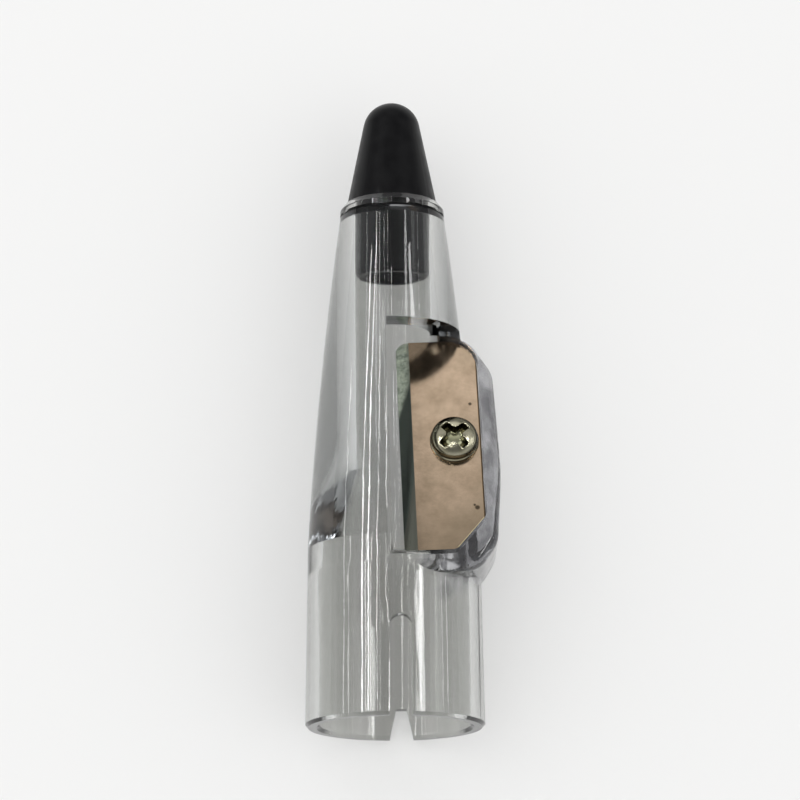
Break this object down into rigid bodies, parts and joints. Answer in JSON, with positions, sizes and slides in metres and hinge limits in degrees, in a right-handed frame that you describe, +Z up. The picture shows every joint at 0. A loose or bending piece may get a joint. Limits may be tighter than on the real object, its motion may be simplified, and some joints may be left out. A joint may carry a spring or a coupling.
{
  "type": "lead holder cap with sharpener",
  "caption": "Clear tapered slip-on holder cap with a slit gripping socket, a screwed sharpener blade in a side boss and a pull-out black hollow nose plug.",
  "frame": {"origin": "centre of the socket mouth at the wide end", "axes": "+Y along the cap's axis from the mouth to the nose, +Z up out of the side that carries the blade, +X to the boss"},
  "size_m": [0.0186, 0.062, 0.017],
  "materials": {
    "clear_plastic": "clear, polished, moulded",
    "blade_steel": "satin, warm tinted, ground edge",
    "screw_metal": "polished, pale yellow plating",
    "black_plastic": "satin, moulded"
  },
  "bodies": {
    "holder": {"clear_body": "clear_plastic", "sharpener_blade": "blade_steel", "blade_screw": "screw_metal"},
    "plug": {"nose_plug": "black_plastic", "collar_ring": "clear_plastic"}
  },
  "joints": [
    {"name": "plug_pull", "type": "slide", "parent": "holder", "child": "plug", "axis": [0, 1, 0], "range_m": [0, 0.01]}
  ]
}
